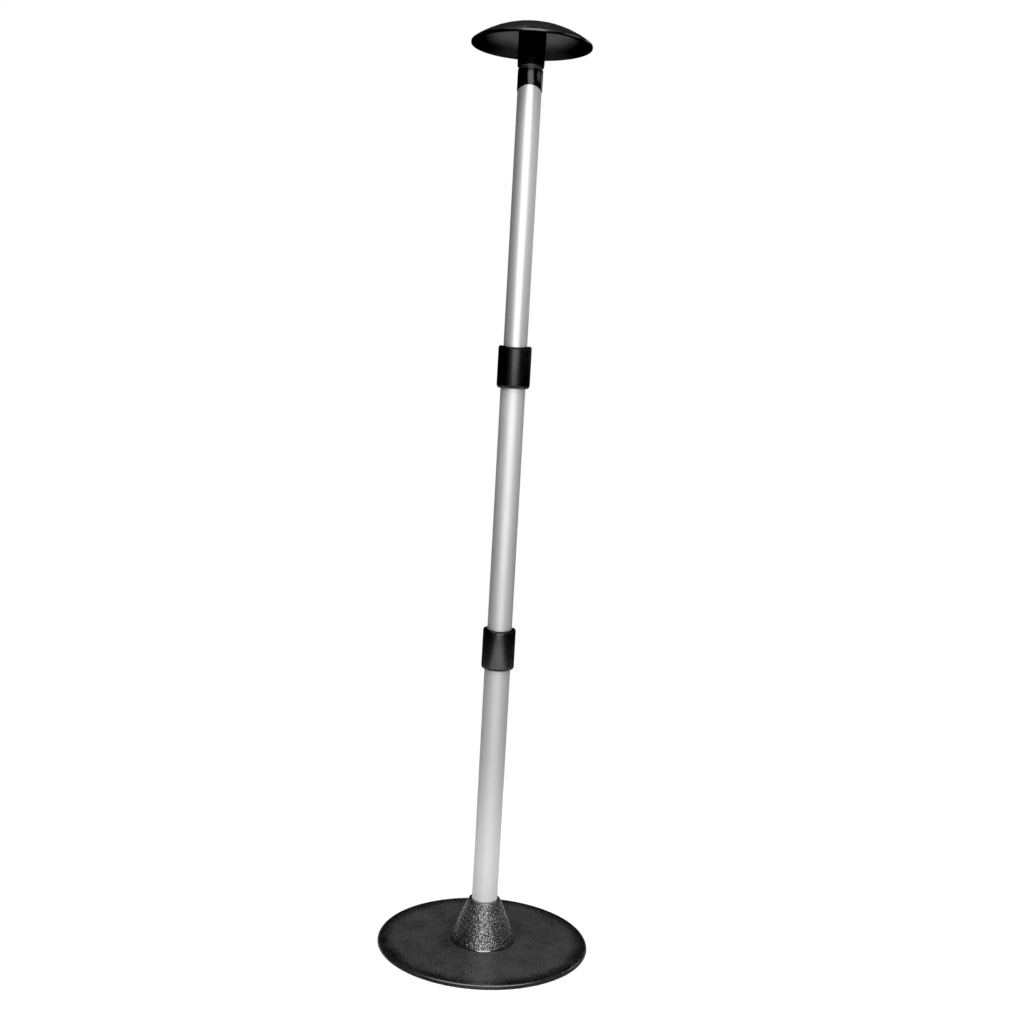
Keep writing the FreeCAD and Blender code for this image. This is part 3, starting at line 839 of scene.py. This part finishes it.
bore = [
    Vector(spot) for spot in (
        (0, bore_top),
        (CAP_BORE, bore_top),
        (CAP_BORE, snap_high.z + SNAP_ROOM),
        (CAP_BORE + SNAP_DEPTH, snap_high.z + SNAP_ROOM),
        (CAP_BORE + SNAP_DEPTH, snap_low.z - SNAP_ROOM),
        (CAP_BORE, snap_low.z - SNAP_ROOM),
        (CAP_BORE, cap_low.z),
    )
]
cap = lathed("dome_cap_moulding", stem + under + rim + over + bore, sides=480)


def cap_grain(spot):
    """Grain on the upper face only, fading out towards the rim."""
    radius = math.hypot(spot.x, spot.y)
    on_top = spot.z > upper_face.at(min(radius, rim_radius)).y - 0.2 * MM
    return 1 - share_between(radius, rim_radius - 2.6 * MM, rim_radius - 0.6 * MM) if on_top else 0


marked(cap, cap_grain)


def cap_finish(graph):
    """Glinting grain above, a smooth satin hollow beneath with painted light in its middle fading
    to painted shade at the rim and stem, a matt stem and a polished rim.
    """
    radius, height = graph.radius_and_height()
    grain = graph.own("grain")
    fleck = graph.noise(1.7 * MM, 2.0, rough=0.6)
    cloud = graph.noise(14 * MM, 2.0)
    stem = 1 - radius.ramp(STEM_TOP + 0.25 * MM, STEM_TOP + 2.85 * MM)
    middle = 1 - radius.ramp(26 * MM, hollow_rim - 3 * MM)
    # Painted light: the middle of the hollow underside is painted much lighter, fading to dark
    # towards the rim and at the stem as painted shade.
    painted_underside_light = middle * (1 - stem) * (1 - grain)
    # Tone: the hollow's painted light with random cloud, random flecks, and the grained upper face
    # a little lighter.
    shade = painted_underside_light * (0.8 + (cloud - 0.5) * 0.3) + (fleck - 0.5) * 0.1 + grain * 0.1
    lip = stem * (1 - height.ramp(cap_low.z + 0.6 * MM, cap_low.z + 1.4 * MM))
    side = radius.ramp(rim_radius - 0.8 * MM, rim_radius - 0.4 * MM)
    rim = side * height.ramp(DOME_RIM + 0.7 * MM, DOME_RIM + 1.2 * MM)
    return {
        "Base Color": graph.tint(shade.ramp(0, 1), (0.001, 0.001, 0.001), (0.150, 0.150, 0.150)),
        "Roughness": 0.36 + stem * 0.3 + cloud * 0.06,
        "Normal": graph.bump(fleck, 1.2 * MM * grain + 0.03 * MM),
        "Coat Weight": rim * 0.6 + lip + fleck.ramp(0.40, 0.56) * grain,
    }


cap_plastic = finish_of(
    "cap_plastic_with_painted_light", cap_finish,
    Specular_IOR_Level=0.15, Coat_Roughness=0.16, Coat_IOR=1.85,
)
shaped(
    cap, pebbles,
    Pebble_Size=2.1 * MM, Pebble_Height=0.7 * MM, Seed=8.0, Material=cap_plastic,
)
dress(cap, cap_plastic, "cap", ["dome_cap"])


# --- Floor and light ------------------------------------------------------------------------
# A wide pale floor. A large soft light stands in front, over the lens. Two smaller ones stand
# at the right, one beside the pole and one behind it, and even light comes from above.

FLOOR_LOW = Vector((-0.8, -1.9))
FLOOR_HIGH = Vector((0.8, 0.55))
floor_mesh = bpy.data.meshes.new("floor")
floor_mesh.from_pydata(
    [
        (FLOOR_LOW.x, FLOOR_LOW.y, 0), (FLOOR_HIGH.x, FLOOR_LOW.y, 0),
        (FLOOR_HIGH.x, FLOOR_HIGH.y, 0), (FLOOR_LOW.x, FLOOR_HIGH.y, 0),
    ],
    [],
    [(0, 1, 2, 3)],
)
floor = bpy.data.objects.new("floor", floor_mesh)
bpy.context.scene.collection.objects.link(floor)


def floor_finish(graph):
    """Matt white paper."""
    fibre = graph.noise(1.5 * MM, 3.0)
    return {
        "Base Color": graph.tint(fibre, (0.88, 0.88, 0.88), (0.91, 0.91, 0.91)),
        "Roughness": 0.8 + fibre * 0.1,
    }


floor.data.materials.append(finish_of("floor_finish", floor_finish, Specular_IOR_Level=0.1))


def soft_light(name, place, aim, width, height, radiance, lean=0):
    """A rectangular light of even brightness that faces a point, and may lean to one side."""
    lamp = bpy.data.lights.new(name, "AREA")
    lamp.shape = "RECTANGLE"
    lamp.size = width
    lamp.size_y = height
    lamp.energy = radiance * math.pi * width * height
    light = bpy.data.objects.new(name, lamp)
    facing = (Vector(aim) - Vector(place)).to_track_quat("-Z", "Y").to_matrix().to_4x4()
    light.matrix_world = Matrix.Translation(place) @ facing @ Matrix.Rotation(lean, 4, "Z")
    bpy.context.scene.collection.objects.link(light)


soft_light(
    "front_light", place=(0.2, -2.6, 1.3), aim=(0, 0, 0.6),
    width=2.0, height=2.1, radiance=4.6, lean=math.radians(18),
)
soft_light(
    "back_light", place=(1.5, 1.1, 1.1), aim=(0, 0, 0.8), width=0.5, height=0.6, radiance=2.0
)
soft_light(
    "side_light", place=(2.5, -0.45, 1.5), aim=(0, 0, 0.85), width=1.6, height=0.6, radiance=1.7
)
sky = bpy.data.lights.new("overhead_light", "SUN")
sky.energy = 3.3
sky.angle = math.radians(70)
overhead = bpy.data.objects.new("overhead_light", sky)
overhead.rotation_euler = (math.radians(18), 0, 0)
bpy.context.scene.collection.objects.link(overhead)

world = bpy.data.worlds.new("room")
bpy.context.scene.world = world
world.use_nodes = True
room = Graph(world.node_tree)
world.node_tree.nodes.clear()
seen = room.add("ShaderNodeLightPath", output="Is Camera Ray")
walls = room.add("ShaderNodeBackground", inputs={"Color": (0.03, 0.03, 0.03, 1), "Strength": 1.0})
paper = room.add("ShaderNodeBackground", inputs={"Color": (1.0, 1.0, 1.0, 1), "Strength": 1.0})
both = room.add("ShaderNodeMixShader", inputs={0: seen, 1: walls, 2: paper})
room.add("ShaderNodeOutputWorld", inputs={"Surface": both})

tones = bpy.context.scene.view_settings
tones.view_transform = "Standard"
tones.look = "None"
tones.use_curve_mapping = True
tones.curve_mapping.black_level = (0.007, 0.007, 0.007)
